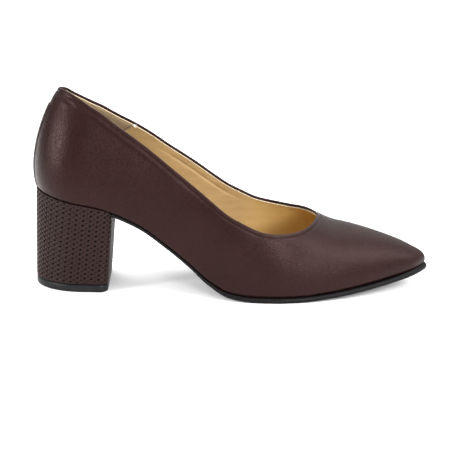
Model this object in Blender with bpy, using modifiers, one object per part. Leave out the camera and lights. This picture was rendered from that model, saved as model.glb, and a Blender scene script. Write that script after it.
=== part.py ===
"""Block heel pump, right shoe, size 38: six pieces as a shoemaker puts them together.

+X points to the toe, -Y is the outer (lateral) side, +Z is up and the floor is at zero.
The origin is at the bottom centre of the shoe's box. Lengths are metres.
"""
import math

import bmesh
import bpy
from mathutils import Matrix, Vector

# Driving sizes of the last, the form that the upper is pulled over
LAST_LENGTH = 0.2408       # back of the heel seat to the tip of the toe, along the floor
BALL_WIDTH = 0.0770        # across the joints of the foot
SEAT_WIDTH = 0.0545        # across the heel seat
HEEL_HEIGHT = 0.0588       # floor to the underside of the upper at the very back
COUNTER_HEIGHT = 0.0610    # underside of the upper to the topline, at the back
INSTEP_HEIGHT = 0.0447     # floor to the middle of the throat
BACK_CURVE = 0.0028        # how far the back bulges behind the heel seat
HEEL_ROUND = 0.0290        # length of the rounded back end of the seat
TOE_ROUND = 0.0100         # length of the rounded tip of the toe
TOE_SWING = 0.0050         # how far the tip swings to the inner side
TOE_SPRING = 0.0088        # floor to the underside of the sole at the tip

# Upper
WALL = 0.0018              # outer leather, counter and lining together
EDGE_ROLL = 0.0027         # radius of the lower edge, where the leather turns under
MARGIN = 0.0010            # flat strip of leather past that radius
THROAT_ALONG = 0.1713      # back of the seat to the middle of the throat

# Sole pieces
SOLE_BALL = 0.0030         # outsole thickness under the ball
SOLE_WAIST = 0.0019        # outsole thickness under the arch
SOLE_EDGE_BALL = 0.0004    # how far the outsole shows past the upper at the ball
SOLE_EDGE_TOE = 0.0014     # and at the toe
SOLE_EDGE_WAIST = -0.0008  # under the arch it is set back
SOLE_BEVEL = 0.0008
INSOLE = 0.0026            # insole board with its sock
GAP = 0.0003               # clearance between pieces that lie on each other

# Heel
TIP_THICKNESS = 0.0046
HEEL_LENGTH_TOP = 0.0475   # back to breast, just under the upper
HEEL_LENGTH_FOOT = 0.0455  # back to breast, on the floor
HEEL_WIDTH_FOOT = 0.0475   # across, on the floor
HEEL_SET_BACK = 0.0009     # how far the foot of the heel stands behind its top
HEEL_CORNER = 0.0055       # radius of the two upright edges beside the breast
HEEL_INSET = 0.0004        # cover's face inside the upper's edge
TIP_BEVEL = 0.0005

# Strip over the back seam
STRIP_HALF_WIDTH = 0.0072
STRIP_THICKNESS = 0.0009
STRIP_TOP = 0.80           # share of the back's height that it reaches
STRIP_FOOT = 0.05

# Sampling
BASE_COLUMNS = 34
THROAT_COLUMNS = 8
WALL_ROWS = 9
ROLL_ROWS = 3
SOLE_ROWS = 8
HEEL_LEVELS = 6

# Underside of the sole along the last: the arch follows the heel's height, the toe its spring
UNDERSIDE = [
    dict(along=0.00, arch=1.000, toe=0.00),
    dict(along=0.08, arch=0.936, toe=0.00),
    dict(along=0.17, arch=0.864, toe=0.00),
    dict(along=0.26, arch=0.714, toe=0.00),
    dict(along=0.33, arch=0.510, toe=0.00),
    dict(along=0.39, arch=0.310, toe=0.00),
    dict(along=0.44, arch=0.135, toe=0.00),
    dict(along=0.49, arch=0.030, toe=0.00),
    dict(along=0.55, arch=0.000, toe=0.00),
    dict(along=0.65, arch=0.000, toe=0.00),
    dict(along=0.74, arch=0.000, toe=0.13),
    dict(along=0.84, arch=0.000, toe=0.39),
    dict(along=0.93, arch=0.000, toe=0.71),
    dict(along=1.00, arch=0.000, toe=1.00),
]

# Outline of the underside: half widths as shares of the half ball width
OUTLINE = [
    dict(along=0.00, outer=0.000, inner=0.000, seat=1.00),
    dict(along=0.15, outer=0.000, inner=0.000, seat=1.00),
    dict(along=0.25, outer=0.150, inner=0.080, seat=0.80),
    dict(along=0.35, outer=0.420, inner=0.330, seat=0.45),
    dict(along=0.44, outer=0.760, inner=0.640, seat=0.12),
    dict(along=0.53, outer=0.960, inner=0.870, seat=0.00),
    dict(along=0.61, outer=1.000, inner=0.985, seat=0.00),
    dict(along=0.68, outer=0.955, inner=1.000, seat=0.00),
    dict(along=0.76, outer=0.830, inner=0.905, seat=0.00),
    dict(along=0.85, outer=0.615, inner=0.670, seat=0.00),
    dict(along=0.93, outer=0.375, inner=0.400, seat=0.00),
    dict(along=1.00, outer=0.130, inner=0.130, seat=0.00),
]

# Crown line of the last above each place of the outline: where it lies along the last, and its
# height as shares of the three heights; behind the throat it only guides the side walls
CROWN = [
    dict(along=0.00, crown=0.195, heel=1.00, counter=1.28, instep=0.00),
    dict(along=0.12, crown=0.235, heel=0.96, counter=1.25, instep=0.00),
    dict(along=0.25, crown=0.330, heel=0.75, counter=1.18, instep=0.00),
    dict(along=0.37, crown=0.430, heel=0.42, counter=1.08, instep=0.08),
    dict(along=0.50, crown=0.535, heel=0.12, counter=0.72, instep=0.580),
    dict(along=0.61, crown=0.632, heel=0.02, counter=0.24, instep=0.985),
    dict(along=0.70, crown=0.711, heel=0.00, counter=0.06, instep=0.923),
    dict(along=0.77, crown=0.772, heel=0.00, counter=0.00, instep=0.878),
    dict(along=0.83, crown=0.826, heel=0.00, counter=0.00, instep=0.811),
    dict(along=0.89, crown=0.880, heel=0.00, counter=0.00, instep=0.722),
    dict(along=0.94, crown=0.933, heel=0.00, counter=0.00, instep=0.618),
    dict(along=1.00, crown=0.969, heel=0.00, counter=0.00, instep=0.526),
]

# Bend of the side wall: how far it swells, how high its lower handle rises, and how far its
# upper handle reaches back out along and across the shoe
WALL_BEND = [
    dict(along=0.00, swell=0.0065, rise=0.36, reach_along=0.60, reach_across=0.10),
    dict(along=0.14, swell=0.0048, rise=0.40, reach_along=0.60, reach_across=0.12),
    dict(along=0.25, swell=0.0030, rise=0.50, reach_along=0.60, reach_across=0.36),
    dict(along=0.35, swell=0.0022, rise=0.57, reach_along=0.60, reach_across=0.76),
    dict(along=0.45, swell=0.0018, rise=0.62, reach_along=0.60, reach_across=0.88),
    dict(along=0.56, swell=0.0012, rise=0.62, reach_along=0.60, reach_across=0.72),
    dict(along=0.70, swell=0.0010, rise=0.55, reach_along=0.60, reach_across=0.60),
    dict(along=0.85, swell=0.0010, rise=0.52, reach_along=0.55, reach_across=0.55),
    dict(along=1.00, swell=0.0006, rise=0.51, reach_along=0.50, reach_across=0.50),
]

# Topline: share of the way up the wall
TOPLINE = [
    dict(along=0.00, outer=0.576, inner=0.576),
    dict(along=0.02, outer=0.589, inner=0.568),
    dict(along=0.05, outer=0.581, inner=0.543),
    dict(along=0.12, outer=0.530, inner=0.496),
    dict(along=0.20, outer=0.466, inner=0.454),
    dict(along=0.30, outer=0.432, inner=0.445),
    dict(along=0.40, outer=0.427, inner=0.466),
    dict(along=0.50, outer=0.390, inner=0.435),
    dict(along=0.56, outer=0.376, inner=0.418),
    dict(along=0.64, outer=0.381, inner=0.433),
    dict(along=0.70, outer=0.382, inner=0.553),
]
THROAT_ROUND = 0.152       # share of the last's length over which the throat rounds off

OUTER, INNER = -1, 1


def smooth(table, column, at):
    """Reads a column between its rows with a smooth curve that never overshoots them."""
    rows = [(row["along"], row[column]) for row in table]
    if at <= rows[0][0]:
        return rows[0][1]
    if at >= rows[-1][0]:
        return rows[-1][1]
    slopes = [(b[1] - a[1]) / (b[0] - a[0]) for a, b in zip(rows, rows[1:])]
    tangents = [slopes[0]]
    for before, after in zip(slopes, slopes[1:]):
        same_way = before * after > 0
        tangents.append(2 * before * after / (before + after) if same_way else 0.0)
    tangents.append(slopes[-1])
    index = max(i for i in range(len(rows) - 1) if rows[i][0] <= at)
    (x0, y0), (x1, y1) = rows[index], rows[index + 1]
    span = x1 - x0
    t = (at - x0) / span
    return ((2 * t**3 - 3 * t**2 + 1) * y0 + (t**3 - 2 * t**2 + t) * span * tangents[index]
            + (3 * t**2 - 2 * t**3) * y1 + (t**3 - t**2) * span * tangents[index + 1])


def underside(along):
    """Height of the outsole's lower face."""
    return HEEL_HEIGHT * smooth(UNDERSIDE, "arch", along) + TOE_SPRING * smooth(UNDERSIDE, "toe", along)


def ease(at, start, end):
    t = min(1.0, max(0.0, (at - start) / (end - start)))
    return t * t * (3 - 2 * t)


def sole_thickness(along):
    return SOLE_WAIST + (SOLE_BALL - SOLE_WAIST) * ease(along, 0.30, 0.56)


def seat_height(along):
    """Height of the upper's lower edge, on top of the outsole."""
    return underside(along) + sole_thickness(along) + GAP


def swing(along):
    """The toe's centre line swings to the inner side from the ball on."""
    return TOE_SWING * ease(along, 0.50, 1.05)


def half_width(along, side):
    """Half width of the underside: the seat's share and the ball's share, rounded at both ends."""
    column = "outer" if side == OUTER else "inner"
    wide = SEAT_WIDTH / 2 * smooth(OUTLINE, "seat", along) + BALL_WIDTH / 2 * smooth(OUTLINE, column, along)
    back = min(1.0, along * LAST_LENGTH / HEEL_ROUND)
    front = min(1.0, (1 - along) * LAST_LENGTH / TOE_ROUND)
    return wide * math.sqrt(1 - (1 - back) ** 2) * math.sqrt(1 - (1 - front) ** 2)


def along_of(turn):
    """Turn runs from 0 at the back to 1 at the tip, closer together on the round ends."""
    return (1 - math.cos(math.pi * turn)) / 2


def foot_point(turn, side):
    """Point of the lower edge's outline."""
    along = along_of(turn)
    across = swing(along) + side * half_width(along, side)
    return Vector((BACK_CURVE + along * LAST_LENGTH, across, seat_height(along)))


def outward(turn, side):
    """Level direction that leaves the outline at a right angle."""
    if turn <= 0:
        return Vector((-1, 0, 0))
    if turn >= 1:
        return Vector((1, 0, 0))
    step = min(0.004, turn, 1 - turn)
    run = foot_point(turn + step, side) - foot_point(turn - step, side)
    return Vector((-side * run.y, side * run.x, 0)).normalized()


def crown_height(share):
    """Height of the last's crown at a share of the crown line's table."""
    heel = HEEL_HEIGHT * smooth(CROWN, "heel", share)
    counter = COUNTER_HEIGHT * smooth(CROWN, "counter", share)
    return heel + counter + INSTEP_HEIGHT * smooth(CROWN, "instep", share)


def crown_point(along):
    crown = smooth(CROWN, "crown", along)
    return Vector((BACK_CURVE + crown * LAST_LENGTH, swing(crown), crown_height(along)))


def wall_point(turn, side, t):
    """Outer face of the upper: t is 0 where the edge roll ends and 1 on the crown line."""
    along = along_of(turn)
    out = outward(turn, side)
    up = Vector((0, 0, 1))
    start = foot_point(turn, side) + up * EDGE_ROLL
    crown = crown_point(along)
    rise = crown.z - start.z
    ahead = crown_point(min(1.0, along + 0.01))
    behind = crown_point(max(0.0, along - 0.01))
    slope = (ahead.z - behind.z) / (ahead.x - behind.x)
    first = start + out * smooth(WALL_BEND, "swell", along) + up * rise * smooth(WALL_BEND, "rise", along)
    away_along = (start.x - crown.x) * smooth(WALL_BEND, "reach_along", along)
    away_across = (start.y - crown.y) * smooth(WALL_BEND, "reach_across", along)
    second = crown + Vector((away_along, away_across, away_along * slope))
    a, b, c, d = (1 - t) ** 3, 3 * t * (1 - t) ** 2, 3 * t * t * (1 - t), t ** 3
    return start * a + first * b + second * c + crown * d


def roll_point(turn, side, share):
    """Edge roll and margin under it: share is 0 at the inner rim of the margin and 1 at the wall."""
    foot = foot_point(turn, side)
    out = outward(turn, side)
    if share == 0:
        return foot - out * (EDGE_ROLL + MARGIN)
    angle = math.pi / 2 * (share - 1 / (ROLL_ROWS + 1)) / (1 - 1 / (ROLL_ROWS + 1))
    inset = EDGE_ROLL * (1 - math.sin(angle))
    return foot - out * inset + Vector((0, 0, EDGE_ROLL * (1 - math.cos(angle))))


def topline(along, side):
    """Share of the way up the wall where the upper ends, 1 from the throat to the toe."""
    column = "outer" if side == OUTER else "inner"
    if along >= THROAT_TURN_ALONG:
        return 1.0
    base = smooth(TOPLINE, column, along)
    start = THROAT_TURN_ALONG - THROAT_ROUND
    gone = max(0.0, (along - start) / THROAT_ROUND)
    return base + (1 - base) * (1 - math.sqrt(1 - gone * gone))


def throat_place():
    """Place along the outline whose crown point is the middle of the throat."""
    low, high = 0.5, 0.9
    for _ in range(40):
        middle = (low + high) / 2
        if crown_point(middle).x - BACK_CURVE < THROAT_ALONG:
            low = middle
        else:
            high = middle
    return low


THROAT_TURN_ALONG = throat_place()


def turn_of(along):
    return math.acos(1 - 2 * along) / math.pi


def turns():
    """Places round the last, closer together at the throat and exact on its middle."""
    throat = turn_of(THROAT_TURN_ALONG)
    begin = turn_of(THROAT_TURN_ALONG - THROAT_ROUND * 0.75)
    places = [i / BASE_COLUMNS for i in range(BASE_COLUMNS + 1)]
    places = [p for p in places if p < begin - 0.01 or p > throat + 0.012]
    for i in range(THROAT_COLUMNS + 1):
        share = i / THROAT_COLUMNS
        places.append(begin + (throat - begin) * math.sin(math.pi / 2 * share))
    return sorted(places)


def material(name, color, roughness):
    made = bpy.data.materials.new(name)
    made.use_nodes = True
    shader = made.node_tree.nodes["Principled BSDF"]
    shader.inputs["Base Color"].default_value = (*color, 1)
    shader.inputs["Roughness"].default_value = roughness
    shader.inputs["Metallic"].default_value = 0.0
    return made


def add_object(name, points, faces, look):
    """Mesh object with doubled corners merged and every face looking outward."""
    mesh = bpy.data.meshes.new(name)
    mesh.from_pydata([tuple(p) for p in points], [], faces)
    work = bmesh.new()
    work.from_mesh(mesh)
    bmesh.ops.remove_doubles(work, verts=work.verts, dist=1e-6)
    bmesh.ops.dissolve_degenerate(work, edges=work.edges, dist=1e-6)
    bmesh.ops.recalc_face_normals(work, faces=work.faces)
    work.to_mesh(mesh)
    work.free()
    made = bpy.data.objects.new(name, mesh)
    made.data.materials.append(look)
    SHOE.objects.link(made)
    return made


def grid_faces(rows, columns, closed=False):
    """Quads of a grid whose points lie row by row."""
    faces = []
    for row in range(rows - 1):
        for column in range(columns if closed else columns - 1):
            right = (column + 1) % columns
            faces.append((row * columns + column, row * columns + right,
                          (row + 1) * columns + right, (row + 1) * columns + column))
    return faces


def shell(made, thickness, offset):
    """Gives an open surface its thickness: offset -1 grows it inward, 1 outward."""
    solid = made.modifiers.new("Wall", "SOLIDIFY")
    solid.thickness = thickness
    solid.offset = offset
    solid.use_even_offset = True
    solid.use_rim = True
    return made


def shade(made, smooth_faces):
    for face in made.data.polygons:
        face.use_smooth = smooth_faces


def make_upper(look):
    """One hollow wall, open at the topline and open underneath inside its turned-in edge."""
    places = turns()
    ring = [(turn, OUTER) for turn in reversed(places)] + [(turn, INNER) for turn in places[1:-1]]
    points = []
    for row in range(ROLL_ROWS + 1):
        points += [roll_point(turn, side, row / (ROLL_ROWS + 1)) for turn, side in ring]
    for row in range(WALL_ROWS + 1):
        for turn, side in ring:
            top = topline(along_of(turn), side)
            points.append(wall_point(turn, side, top * row / WALL_ROWS))
    faces = grid_faces(ROLL_ROWS + WALL_ROWS + 2, len(ring), closed=True)
    upper = add_object("upper", points, faces, look)
    shade(upper, True)
    return shell(upper, WALL, -1)


def plate(name, rungs, look, bevel=0.0):
    """Solid plate over cross rungs: each rung gives its two ends, its top and its bottom height."""
    points = []
    for outer_end, inner_end, top, bottom in rungs:
        for height in (top, bottom):
            for i in range(SOLE_ROWS + 1):
                spot = outer_end.lerp(inner_end, i / SOLE_ROWS)
                points.append((spot.x, spot.y, height))
    row = SOLE_ROWS + 1
    faces = []
    for r in range(len(rungs) - 1):
        a, b = r * 2 * row, (r + 1) * 2 * row
        for i in range(SOLE_ROWS):
            faces.append((a + i, b + i, b + i + 1, a + i + 1))
            faces.append((a + row + i, a + row + i + 1, b + row + i + 1, b + row + i))
        faces.append((a, a + row, b + row, b))
        faces.append((a + row - 1, b + row - 1, b + 2 * row - 1, a + 2 * row - 1))
    for r in (0, len(rungs) - 1):
        a = r * 2 * row
        for i in range(SOLE_ROWS):
            faces.append((a + i, a + i + 1, a + row + i + 1, a + row + i))
    made = add_object(name, points, faces, look)
    if bevel:
        edge = made.modifiers.new("Edge", "BEVEL")
        edge.width = bevel
        edge.segments = 2
        edge.limit_method = "ANGLE"
        edge.angle_limit = math.radians(50)
    return made


def heel_breast_along():
    return HEEL_LENGTH_TOP / LAST_LENGTH


def make_outsole(look):
    """Runs from the heel's breast to the toe; flat on the floor under the ball."""
    first = turn_of(heel_breast_along() + GAP / LAST_LENGTH)
    places = [first] + [i / BASE_COLUMNS for i in range(BASE_COLUMNS + 1) if i / BASE_COLUMNS > first + 0.01]
    places[-1] = 1 - 0.12 / BASE_COLUMNS
    rungs = []
    for turn in places:
        along = along_of(turn)
        edge = SOLE_EDGE_WAIST + (SOLE_EDGE_BALL - SOLE_EDGE_WAIST) * ease(along, 0.36, 0.50)
        edge += (SOLE_EDGE_TOE - SOLE_EDGE_BALL) * ease(along, 0.62, 0.88)
        ends = [foot_point(turn, side) + outward(turn, side) * edge for side in (OUTER, INNER)]
        bottom = underside(along)
        rungs.append((ends[0], ends[1], bottom + sole_thickness(along), bottom))
    return plate("outsole", rungs, look, SOLE_BEVEL)


def make_insole(look):
    """Board and sock inside the turned-in edge, from the heel seat to the toe."""
    inset = EDGE_ROLL + MARGIN + GAP
    places = [i / BASE_COLUMNS for i in range(BASE_COLUMNS + 1)]
    rungs = []
    for turn in places:
        ends = [foot_point(turn, side) - outward(turn, side) * inset for side in (OUTER, INNER)]
        if ends[1].y - ends[0].y < inset:
            continue
        level = seat_height(along_of(turn))
        rungs.append((ends[0], ends[1], level + INSOLE, level))
    return plate("insole", rungs, look)


def heel_ring(level, inset=0.0):
    """Half outline of the heel block, from the middle of its back to the middle of its breast."""
    back = BACK_CURVE + HEEL_INSET + inset - HEEL_SET_BACK * (1 - level)
    breast_top = BACK_CURVE + HEEL_LENGTH_TOP
    breast_foot = BACK_CURVE - HEEL_SET_BACK + HEEL_LENGTH_FOOT
    breast = breast_foot + (breast_top - breast_foot) * level - inset
    half = (HEEL_WIDTH_FOOT + (SEAT_WIDTH - HEEL_WIDTH_FOOT) * level) / 2 - HEEL_INSET - inset
    corner = HEEL_CORNER - inset
    outline = []
    for i in range(13):
        angle = math.pi / 2 * i / 12
        outline.append((back + HEEL_ROUND * (1 - math.cos(angle)), half * math.sin(angle)))
    start = outline[-1][0]
    outline.append(((start + breast - corner) / 2, half))
    for i in range(5):
        angle = math.pi / 2 * i / 4
        outline.append((breast - corner * (1 - math.sin(angle)), half - corner * (1 - math.cos(angle))))
    outline += [(breast, half * 0.4), (breast, 0.0)]
    return outline


def heel_solid(name, rings, heights, look):
    """Closed block through rings of equal count; heights give each ring's height at a place."""
    points = []
    count = 0
    for ring, height in zip(rings, heights):
        whole = ring + [(x, -y) for x, y in reversed(ring[1:-1])]
        count = len(whole)
        points += [(x, y, height(x)) for x, y in whole]
    faces = grid_faces(len(rings), count, closed=True)
    last = (len(rings) - 1) * count
    half = count // 2
    for start in (0, last):
        faces.append((start, start + 1, start + count - 1))
        for i in range(1, half - 1):
            faces.append((start + i, start + i + 1, start + count - i - 1, start + count - i))
        faces.append((start + half - 1, start + half, start + half + 1))
    return add_object(name, points, faces, look)


def make_heel(look):
    """Block under the seat: its top follows the upper's lower edge, its foot is level."""
    foot = TIP_THICKNESS + GAP
    rings, heights = [], []
    for i in range(HEEL_LEVELS + 1):
        level = i / HEEL_LEVELS
        rings.append(heel_ring(level))

        def height(x, share=level):
            top = seat_height(max(0.0, x - BACK_CURVE) / LAST_LENGTH) - GAP
            return foot + (top - foot) * share
        heights.append(height)
    return heel_solid("heel", rings, heights, look)


def make_heel_tip(look):
    """Top piece that wears on the floor."""
    insets = [TIP_BEVEL, 0.0, 0.0]
    levels = [0.0, TIP_BEVEL, TIP_THICKNESS]
    rings = [heel_ring(0.0, inset) for inset in insets]
    return heel_solid("heel_tip", rings, [lambda x, z=z: z for z in levels], look)


def back_strip_point(share_across, share_up, lift):
    """Point over the back seam, lifted off the upper along its own normal."""
    side = OUTER if share_across < 0 else INNER
    turn = abs(share_across) * STRIP_TURN
    t = topline(0.0, OUTER) * (STRIP_FOOT + (STRIP_TOP - STRIP_FOOT) * share_up)
    here = wall_point(turn, side, t)
    step = 0.004
    upward = wall_point(turn, side, t + step) - wall_point(turn, side, t - step)
    around = wall_point(turn + step, side, t) - wall_point(max(0.0, turn - step), side, t)
    if turn < step:
        around = Vector((0, side, 0))
    normal = around.cross(upward) * side
    return here - normal.normalized() * lift if normal.x > 0 else here + normal.normalized() * lift


def strip_turn():
    """Turn at which the outline has run half the strip's width."""
    turn = 0.0
    run = 0.0
    here = foot_point(0.0, INNER)
    while run < STRIP_HALF_WIDTH:
        turn += 0.0005
        ahead = foot_point(turn, INNER)
        run += (ahead - here).length
        here = ahead
    return turn


STRIP_TURN = strip_turn()


def make_back_strip(look):
    """Strip of embossed leather over the back seam, a little off the wall it is stuck to."""
    across, rows = 9, 11
    points = []
    for row in range(rows):
        for column in range(across):
            points.append(back_strip_point(column / (across - 1) * 2 - 1, row / (rows - 1), GAP))
    strip = add_object("back_strip", points, grid_faces(rows, across), look)
    middle = strip.data.polygons[len(strip.data.polygons) // 2]
    if middle.normal.x > 0:
        strip.data.flip_normals()
    shade(strip, True)
    return shell(strip, STRIP_THICKNESS, 1)


for old in list(bpy.data.objects):
    bpy.data.objects.remove(old)

SHOE = bpy.data.collections.new("block_heel_pump")
bpy.context.scene.collection.children.link(SHOE)

leather = material("smooth_leather", (0.075, 0.040, 0.034), 0.38)
weave = material("woven_leather", (0.068, 0.038, 0.032), 0.45)
lining = material("insole_leather", (0.48, 0.32, 0.15), 0.6)
sole_rubber = material("sole_rubber", (0.018, 0.017, 0.018), 0.5)
tip_rubber = material("tip_rubber", (0.020, 0.018, 0.018), 0.5)

pieces = [
    make_upper(leather),
    make_back_strip(weave),
    make_insole(lining),
    make_outsole(sole_rubber),
    make_heel(weave),
    make_heel_tip(tip_rubber),
]

# The origin goes to the bottom centre of the whole shoe's box
bpy.context.view_layer.update()
corners = []
depsgraph = bpy.context.evaluated_depsgraph_get()
for piece in pieces:
    shape = piece.evaluated_get(depsgraph).to_mesh()
    corners += [vertex.co.copy() for vertex in shape.vertices]
    piece.evaluated_get(depsgraph).to_mesh_clear()
middle_x = (min(c.x for c in corners) + max(c.x for c in corners)) / 2
middle_y = (min(c.y for c in corners) + max(c.y for c in corners)) / 2
for piece in pieces:
    piece.data.transform(Matrix.Translation((-middle_x, -middle_y, 0)))
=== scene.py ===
"""Looks of a block heel pump, right shoe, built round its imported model.

+X points to the toe, -Y is the outer side, +Z is up. Lengths are metres.
The sections follow the shoe as it is put together, after the studio that it stands in.
"""
import math

import bmesh
import bpy
import numpy as np
from mathutils import Matrix, Vector, noise
from mathutils.kdtree import KDTree


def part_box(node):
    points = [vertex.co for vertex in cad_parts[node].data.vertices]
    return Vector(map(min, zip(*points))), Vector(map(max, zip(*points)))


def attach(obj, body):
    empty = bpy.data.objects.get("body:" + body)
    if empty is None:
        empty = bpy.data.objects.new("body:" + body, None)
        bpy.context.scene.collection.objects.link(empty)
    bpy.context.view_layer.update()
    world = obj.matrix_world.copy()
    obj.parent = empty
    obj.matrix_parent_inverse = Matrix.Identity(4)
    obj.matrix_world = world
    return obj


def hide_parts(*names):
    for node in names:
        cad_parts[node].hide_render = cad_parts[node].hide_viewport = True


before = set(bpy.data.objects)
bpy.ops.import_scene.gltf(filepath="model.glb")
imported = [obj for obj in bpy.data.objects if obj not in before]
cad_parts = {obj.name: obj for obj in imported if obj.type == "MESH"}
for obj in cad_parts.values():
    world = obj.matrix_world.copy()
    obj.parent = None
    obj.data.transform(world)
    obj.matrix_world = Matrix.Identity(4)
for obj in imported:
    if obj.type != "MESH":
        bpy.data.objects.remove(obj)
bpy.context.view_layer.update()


# Studio: a white floor that runs on behind the shoe, a bright room, and soft boxes round it.
# The camera stands at the photograph's angle, 0.8 m from the outer side of the shoe.
CAMERA_AIM = Vector((-0.00478, -0.00094, 0.0369))
CAMERA_AZIMUTH = math.radians(-1.24)
CAMERA_ELEVATION = math.radians(17.78)
CAMERA_ROLL = math.radians(-1.33)
CAMERA_AWAY = 0.800
CAMERA_LENS = 104.06


def put_in_scene(name, data):
    """Object of a mesh, a light or a camera, in the scene."""
    thing = bpy.data.objects.new(name, data)
    bpy.context.scene.collection.objects.link(thing)
    return thing


def place_camera():
    """Turns to the azimuth, tilts down to the elevation, leans by the roll, then steps away."""
    camera = bpy.data.cameras.new("camera")
    camera.sensor_width = 36
    camera.lens = CAMERA_LENS
    camera.clip_start = 0.01
    stand = put_in_scene("camera", camera)
    turn = (Matrix.Rotation(CAMERA_AZIMUTH, 4, "Z") @ Matrix.Rotation(math.pi / 2 - CAMERA_ELEVATION, 4, "X")
            @ Matrix.Rotation(-CAMERA_ROLL, 4, "Z"))
    stand.matrix_world = Matrix.Translation(CAMERA_AIM) @ turn @ Matrix.Translation((0, 0, CAMERA_AWAY))
    bpy.context.scene.camera = stand


place_camera()
bpy.context.scene.view_settings.view_transform = "Standard"


def soft_box(name, place, aim, width, height, power, mirrored=True):
    """Area light that faces its aim; one that isn't mirrored only fills shadows."""
    light = bpy.data.lights.new(name, "AREA")
    light.shape = "RECTANGLE"
    light.size = width
    light.size_y = height
    light.energy = power
    stand = put_in_scene(name, light)
    stand.location = place
    stand.rotation_euler = (Vector(aim) - Vector(place)).to_track_quat("-Z", "Y").to_euler()
    stand.visible_glossy = mirrored


soft_box("overhead_box", (0.0, 0.35, 1.5), (0, 0.05, 0), 2.6, 1.8, 23)
soft_box("left_strip", (-1.12, -0.60, 0.44), (-0.10, -0.02, 0.08), 0.20, 0.20, 11.5)
soft_box("right_box", (1.15, -0.55, 0.98), (0.05, 0, 0.04), 0.8, 0.6, 15.5)
soft_box("vamp_box", (0.50, -1.02, 0.42), (0.03, -0.04, 0.03), 0.38, 0.22, 9.5)
soft_box("back_box", (-0.50, 1.10, 0.24), (-0.03, 0, 0.0), 0.9, 0.24, 20, mirrored=False)


def add_node(tree, kind, inputs=(), **settings):
    """Node with its settings; each input gets a socket, a reading or a plain value."""
    node = tree.nodes.new(kind)
    for name, value in settings.items():
        setattr(node, name, value)
    for name, value in dict(inputs).items():
        if isinstance(value, Reading):
            value = value.socket
        if isinstance(value, bpy.types.NodeSocket):
            tree.links.new(value, node.inputs[name])
        else:
            node.inputs[name].default_value = value
    return node


class Reading:
    """A socket of a node tree that can be reckoned with like a number."""

    def __init__(self, tree, socket):
        self.tree = tree
        self.socket = socket

    def work(self, operation, *others):
        node = add_node(self.tree, "ShaderNodeMath", enumerate((self, *others)), operation=operation)
        return Reading(self.tree, node.outputs[0])

    def __add__(self, other):
        return self.work("ADD", other)

    def __sub__(self, other):
        return self.work("SUBTRACT", other)

    def __mul__(self, other):
        return self.work("MULTIPLY", other)

    def __truediv__(self, other):
        return self.work("DIVIDE", other)

    def stretch(self, low, high, to_low=0.0, to_high=1.0):
        """Reads low to high as to_low to to_high, and no further."""
        node = add_node(self.tree, "ShaderNodeMapRange", {
            "Value": self, "From Min": low, "From Max": high, "To Min": to_low, "To Max": to_high})
        return Reading(self.tree, node.outputs["Result"])


class Finish:
    """Material with one Principled shader, which reads the shoe's own coordinates."""

    def __init__(self, name, roughness, **shader_values):
        self.material = bpy.data.materials.new(name)
        self.material.use_nodes = True
        self.tree = self.material.node_tree
        self.shader = self.tree.nodes["Principled BSDF"]
        self.shader.inputs["Roughness"].default_value = roughness
        for socket, value in shader_values.items():
            self.shader.inputs[socket.replace("_", " ")].default_value = value
        self.where = self.tree.nodes.new("ShaderNodeTexCoord").outputs["Object"]

    def read(self, kind, output, inputs=(), **settings):
        return Reading(self.tree, add_node(self.tree, kind, inputs, **settings).outputs[output])

    def feed(self, socket, reading):
        self.tree.links.new(reading.socket, self.shader.inputs[socket])

    def grain(self, scale, detail=2.0, squeeze=(1, 1, 1), distortion=0.0):
        """Soft noise, in patches about 1/scale metres across."""
        squeezed = self.read("ShaderNodeMapping", "Vector", {"Vector": self.where, "Scale": squeeze})
        return self.read("ShaderNodeTexNoise", "Fac", {
            "Vector": squeezed, "Scale": scale, "Detail": detail, "Distortion": distortion})

    def pebble(self, scale):
        """Cells of a leather's grain, about 1/scale metres across."""
        return self.read("ShaderNodeTexVoronoi", "Distance", {"Vector": self.where, "Scale": scale})

    def kept(self, name):
        """Number that is kept for each point of a piece."""
        return self.read("ShaderNodeAttribute", "Fac", attribute_name=name)

    def mix(self, amount, *ends):
        """Colour that runs from the first end to the second as the amount runs from 0 to 1."""
        low, high = ((*end, 1) if isinstance(end, tuple) else end for end in ends)
        return self.read("ShaderNodeMix", "Result", {"Factor": amount, "A": low, "B": high}, data_type="RGBA")

    def tint(self, amount, dark, light):
        """Colours the shader from dark to light by an amount from 0 to 1."""
        self.feed("Base Color", self.mix(amount, dark, light))

    def bump(self, height, distance, strength):
        """Stands the surface up by height times distance, on top of what bump it already has."""
        inputs = {"Strength": strength, "Distance": distance, "Height": height}
        for link in self.shader.inputs["Normal"].links:
            inputs["Normal"] = link.from_socket
        self.feed("Normal", self.read("ShaderNodeBump", "Normal", inputs))


def make_floor():
    """White paper, wide enough to fill the view."""
    mesh = bpy.data.meshes.new("floor")
    mesh.from_pydata([(-3, -3, 0), (3, -3, 0), (3, 5, 0), (-3, 5, 0)], [], [(0, 1, 2, 3)])
    white_paper = Finish("white_paper", 0.9)
    white_paper.tint(white_paper.grain(40), (0.89, 0.89, 0.89), (0.91, 0.91, 0.91))
    mesh.materials.append(white_paper.material)
    floor = put_in_scene("floor", mesh)


make_floor()


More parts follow.
